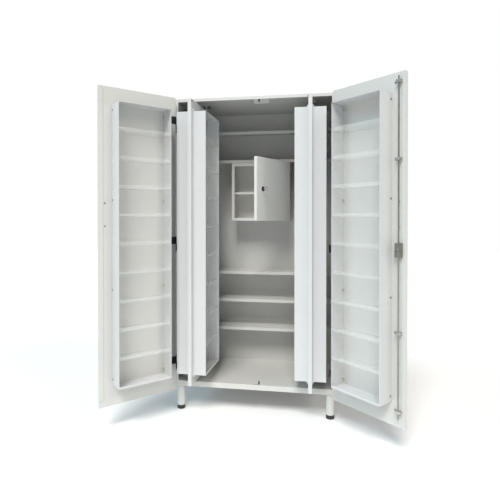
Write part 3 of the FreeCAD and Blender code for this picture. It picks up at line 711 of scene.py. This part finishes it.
# Rod lock
# A zinc-plated lock case on the right door drives two round rods that shoot up and down into the carcass.
# Four guides, each with a screwed foot, hold the rods, and a turn knob on a rose works the lock from outside.
# Black tapered pegs are fixed to the floor and the ceiling just behind the rods' holes.
case_bright = (0.36, 0.345, 0.315, 1)
case_dull = (0.22, 0.21, 0.19, 1)
case_rough = (0.3, 0.5)
case_edge = 0.0008
foot_reach = 0.019
foot_thick = 0.002
foot_edge = 0.0008
guide_screw_r = 0.0034
guide_screw_rise = 0.0013
guide_screw_shares = (0.26, 0.74)
cover_inset = 0.0025
cover_rise = 0.0014
cover_edge = 0.001
case_screw_in = 0.009
boss_profile = [
    (0, -0.0005), (0.009, -0.0005), (0.009, 0.0018), (0.0082, 0.0027), (0.005, 0.003), (0.0046, 0.0021),
    (0, 0.0021),
]
rod_bright = (0.44, 0.425, 0.39, 1)
rod_dull = (0.27, 0.26, 0.235, 1)
rod_rough = (0.24, 0.4)
rod_stretch = (700.0, 700.0, 25.0)
rod_tip_shares = [(0, -0.1), (0.99, -0.1), (0.99, 0.08), (0.88, 0.32), (0.6, 0.5), (0, 0.58)]
ceiling_sheet = 0.0015
peg_from_rod = (0.006, 0.0175)
floor_peg_shares = (0.74, 0.84)
ceiling_peg_shares = (1.0, 1.45)
peg_profile = [
    (0, -0.0004), (0.0075, -0.0004), (0.0075, 0.0018), (0.0062, 0.003), (0.0056, 0.010), (0.0046, 0.0165),
    (0.0034, 0.0195), (0.0018, 0.0206), (0, 0.0208),
]
knob_depth = 0.016
knob_end_in = 0.003
knob_squareness = 0.55
hub_steps = 48
hub_profile = [
    (0, 0), (0.0098, 0), (0.0098, 0.0012), (0.009, 0.0034), (0.0082, 0.0075), (0.0084, 0.0165), (0, 0.0165),
]


def rounded_block(low, high, radius):
    """A block with round edges: a sphere cut in eight, each piece moved out to a corner of an inner box."""
    low = np.asarray(low, float) + radius
    high = np.asarray(high, float) - radius
    quarter = np.linspace(0, math.pi / 2, 4)
    around = np.concatenate([quarter + turn * math.pi / 2 for turn in range(4)] + [[2 * math.pi]])
    corner_x = np.append(np.repeat([high[0], low[0], low[0], high[0]], 4), high[0])
    corner_y = np.append(np.repeat([high[1], high[1], low[1], low[1]], 4), high[1])
    rise = np.concatenate([quarter - math.pi / 2, quarter])[:, None]
    corner_z = np.repeat([low[2], high[2]], 4)[:, None]
    x = corner_x + radius * np.cos(rise) * np.cos(around)
    y = corner_y + radius * np.cos(rise) * np.sin(around)
    z = corner_z + radius * np.sin(rise) + 0 * around
    middle = np.full((1, len(around)), 0.5)
    x = np.concatenate([middle * (low[0] + high[0]), x, middle * (low[0] + high[0])])
    y = np.concatenate([middle * (low[1] + high[1]), y, middle * (low[1] + high[1])])
    z = np.concatenate([z[:1], z, z[-1:]])
    return np.stack([x, y, z], -1)


def cushion(low, high, squareness):
    """A soft block: each half size times signed powers of the sphere's sines and cosines."""
    middle = (np.asarray(low) + np.asarray(high)) / 2
    half = (np.asarray(high) - np.asarray(low)) / 2
    rise = np.linspace(-math.pi / 2, math.pi / 2, 25)[:, None]
    around = np.linspace(-math.pi, math.pi, 49)

    def power(value):
        return np.sign(value) * abs(value) ** squareness

    x = power(np.cos(rise)) * power(np.cos(around))
    y = power(np.cos(rise)) * power(np.sin(around))
    z = power(np.sin(rise)) + 0 * around
    return middle + half * np.stack([x, y, z], -1)


swing = joints["right_door_swing"]
case_metal = plated("lock_case_metal", case_bright, case_dull, case_rough)
rod_metal = plated("rod_steel", rod_bright, rod_dull, rod_rough, rod_stretch)
dress("lock_case", case_metal)
round_folds("lock_case", case_edge)
dress("rod_guides", zinc)
dress("lock_cam", zinc)
dress("lock_rose", satin)
round_folds("lock_rose", case_edge)
dress("rod_upper", rod_metal)
dress("rod_lower", rod_metal)

case_low, case_high = shut_box("lock_case", swing)
case_middle = (case_low + case_high) / 2
plate_low = (case_low[0] + cover_inset, case_high[1] - cover_rise, case_low[2] + cover_inset)
plate_high = (case_high[0] - cover_inset, case_high[1] + cover_rise, case_high[2] - cover_inset)
cover_face = (case_middle[0], case_high[1] + cover_rise, case_middle[2])
cover = [rounded_block(plate_low, plate_high, cover_edge), turned_form(cover_face, (0, 1, 0), boss_profile)]
lock_cover = surface_piece("lock_cover", opened(cover, swing))
fit(lock_cover, case_metal, "right_door")

guide_low, guide_high = shut_box("rod_guides", swing)
rod_x = (guide_low[0] + guide_high[0]) / 2
guide_feet = []
lock_screws = [screw_head((case_middle[0], cover_face[1], z), (0, 1, 0), guide_screw_r, guide_screw_rise)
               for z in (case_low[2] + case_screw_in, case_high[2] - case_screw_in)]
for low, high in heights("rod_guides"):
    foot_low = (guide_low[0] + foot_edge, guide_low[1] - foot_thick / 2, low)
    foot_high = (guide_high[0] + foot_reach, guide_low[1] + foot_thick, high)
    guide_feet.append(rounded_block(foot_low, foot_high, foot_edge))
    for share in guide_screw_shares:
        place = (guide_high[0] + share * foot_reach, foot_high[1], (low + high) / 2)
        lock_screws.append(screw_head(place, (0, 1, 0), guide_screw_r, guide_screw_rise))
guide_foot_plates = surface_piece("guide_foot_plates", opened(guide_feet, swing))
fit(guide_foot_plates, zinc, "right_door")
lock_screw_heads = surface_piece("lock_screw_heads", opened(lock_screws, swing), screw_smooth_deg)
fit(lock_screw_heads, dark_zinc, "right_door")

for node, body, upward in (("rod_upper", "upper_rod", 1), ("rod_lower", "lower_rod", -1)):
    low_corner, high_corner = shut_box(node, swing)
    end = high_corner[2] if upward > 0 else low_corner[2]
    middle_y = (low_corner[1] + high_corner[1]) / 2
    rod_radius = (high_corner[1] - low_corner[1]) / 2
    tip = turned_form((rod_x, middle_y, end), (0, 0, upward), rod_radius * np.array(rod_tip_shares))
    rod_tip = surface_piece(node + "_tip", opened([tip], swing))
    fit(rod_tip, rod_metal, body)

rod_low, rod_high = shut_box("rod_upper", swing)
peg_x = rod_x + peg_from_rod[0]
peg_y = (rod_low[1] + rod_high[1]) / 2 + peg_from_rod[1]
floor_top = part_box("bottom_panel")[1][2]
ceiling_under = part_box("top_panel")[1][2] - ceiling_sheet
pegs = [
    turned_form((peg_x, peg_y, floor_top), (0, 0, 1), np.multiply(peg_profile, floor_peg_shares)),
    turned_form((peg_x, peg_y, ceiling_under), (0, 0, -1), np.multiply(peg_profile, ceiling_peg_shares)),
]
rod_pegs = surface_piece("rod_pegs", pegs)
fit(rod_pegs, hinge_coat, "cabinet")

knob_low, knob_high = shut_box("lock_knob", swing)
wing_low = (knob_low[0] + knob_end_in, knob_low[1], knob_low[2])
wing_high = (knob_high[0] - knob_end_in, knob_low[1] + knob_depth, knob_high[2])
hub_base = ((knob_low[0] + knob_high[0]) / 2, knob_high[1], (knob_low[2] + knob_high[2]) / 2)
knob = [
    cushion(wing_low, wing_high, knob_squareness),
    turned_form(hub_base, (0, -1, 0), hub_profile, hub_steps),
]
turn_knob = surface_piece("turn_knob", opened(knob, swing), round_smooth_deg)
fit(turn_knob, satin, "lock_works")
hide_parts("lock_knob")

# Inner leaves
# Two upright box panels of white-coated sheet swing on pivots inside the carcass, with a rack on each face.
# Caps close the panels' ends, small gussets brace them against the racks, and a black buffer stops each leaf.
panel_edge = 0.0008
cap_inset = 0.0012
cap_in = 0.005
cap_out = 0.0012
cap_edge = 0.001
gusset_reach = 0.011
gusset_h = 0.018
gusset_t = 0.006
gusset_edge = 0.0008
gusset_tip = 0.08
trim_smooth_deg = 50.0
buffer_profile = [
    (0, -0.0005), (0.0055, -0.0005), (0.0055, 0.001), (0.005, 0.003), (0.0035, 0.0042), (0, 0.0046),
]
buffer_in = 0.011
buffer_black = (0.012, 0.012, 0.012, 1)
buffer_grey = (0.025, 0.024, 0.023, 1)
buffer_rough = (0.55, 0.75)
buffer_grain = 1200.0
buffer_depth = 0.0001


def gusset(low, high, grow_up, face):
    """A brace: a rounded block whose depth shrinks evenly from the rack end to a thin tip at the other."""
    block = rounded_block(low, high, gusset_edge)
    share = (block[..., 2] - low[2]) / (high[2] - low[2])
    share = 1 - share if grow_up else share
    block[..., 1] = face + (block[..., 1] - face) * (gusset_tip + (1 - gusset_tip) * share)
    return block


buffer_rubber = coated("buffer_rubber", buffer_black, buffer_grey, buffer_rough, buffer_grain, buffer_depth)
dress("leaf_bearings", zinc)
for side in ("left", "right"):
    swing = joints[side + "_leaf_swing"]
    dress(side + "_leaf_panel", rack_coat)
    round_folds(side + "_leaf_panel", panel_edge)
    dress(side + "_leaf_pivots", zinc)
    dress(side + "_leaf_rails", rack_coat)
    dress(side + "_leaf_trays", acrylic)
    round_folds(side + "_leaf_trays", tray_edge)
    panel_low, panel_high = shut_box(side + "_leaf_panel", swing)
    white = []
    for z, sign in ((panel_low[2], -1), (panel_high[2], 1)):
        z_low, z_high = sorted((z - sign * cap_in, z + sign * cap_out))
        cap_low = (panel_low[0] + cap_inset, panel_low[1] + cap_inset, z_low)
        cap_high = (panel_high[0] - cap_inset, panel_high[1] - cap_inset, z_high)
        white.append(rounded_block(cap_low, cap_high, cap_edge))
    for face in ("front", "rear"):
        node = side + "_leaf_rack_" + face
        dress(node, rack_coat)
        low_corner, high_corner = shut_box(node, swing)
        rim = low_corner[1] + rack_sheet / 2 if face == "front" else high_corner[1] - rack_sheet / 2
        white += rack_hems(low_corner, high_corner, rim)
        outward = -1 if face == "front" else 1
        panel_face = panel_low[1] if face == "front" else panel_high[1]
        y_low, y_high = sorted((panel_face, panel_face + outward * gusset_reach))
        x = high_corner[0] if side == "left" else low_corner[0]
        x_low, x_high = sorted((x, x + (-gusset_t if side == "left" else gusset_t)))
        for z, up in ((high_corner[2], True), (low_corner[2], False)):
            z_low, z_high = sorted((z, z + (gusset_h if up else -gusset_h)))
            white.append(gusset((x_low, y_low, z_low), (x_high, y_high, z_high), up, panel_face))
    leaf_trim = surface_piece(side + "_leaf_trim", opened(white, swing), trim_smooth_deg)
    fit(leaf_trim, rack_coat, side + "_leaf")
    free_x = panel_high[0] - buffer_in if side == "left" else panel_low[0] + buffer_in
    stop = turned_form((free_x, panel_high[1], panel_high[2] - buffer_in), (0, 1, 0), buffer_profile)
    leaf_buffer = surface_piece(side + "_leaf_buffer", opened([stop], swing))
    fit(leaf_buffer, buffer_rubber, side + "_leaf")

# Safe
# A small box of thicker sheet hangs under the fourth shelf, with one loose shelf and a door on a long hinge.
# Its cylinder lock and plug are a dark metal, painted shade for the shadow that falls on them, and the
# flat-bowed key is bright nickel.
# Painted light: the safe's paint is lighter than the carcass's, lifting its door and edges where the lamps
# leave them in shade.
safe_paint_with_painted_light = (0.73, 0.722, 0.695, 1)
safe_shade_with_painted_light = (0.69, 0.682, 0.655, 1)
# Painted shade: the lock and plug colours are dark to stand in for the shadow on the lock.
lock_painted_shade_bright = (0.10, 0.105, 0.115, 1)
lock_painted_shade_dull = (0.05, 0.052, 0.058, 1)
lock_metal_rough = (0.2, 0.34)
nickel_bright = (0.78, 0.76, 0.72, 1)
nickel_dull = (0.62, 0.60, 0.56, 1)
nickel_rough = (0.16, 0.3)
lock_edge = 0.0006
# The safe's lighter coat is painted light.
safe_coat_with_painted_light = coated("safe_coat_with_painted_light", safe_paint_with_painted_light, safe_shade_with_painted_light)
for node in ("safe_body", "safe_shelf", "safe_door"):
    dress(node, safe_coat_with_painted_light)
round_folds("safe_shelf")
lock_painted_shade_metal = plated("lock_painted_shade_metal", lock_painted_shade_bright, lock_painted_shade_dull, lock_metal_rough)
nickel = plated("key_nickel", nickel_bright, nickel_dull, nickel_rough)
dress("safe_pin", zinc)
# The lock and plug take the dark painted-shade metal.
dress("safe_lock", lock_painted_shade_metal)
dress("safe_plug", lock_painted_shade_metal)
dress("safe_key", nickel)
round_folds("safe_lock", lock_edge)
round_folds("safe_key", lock_edge)
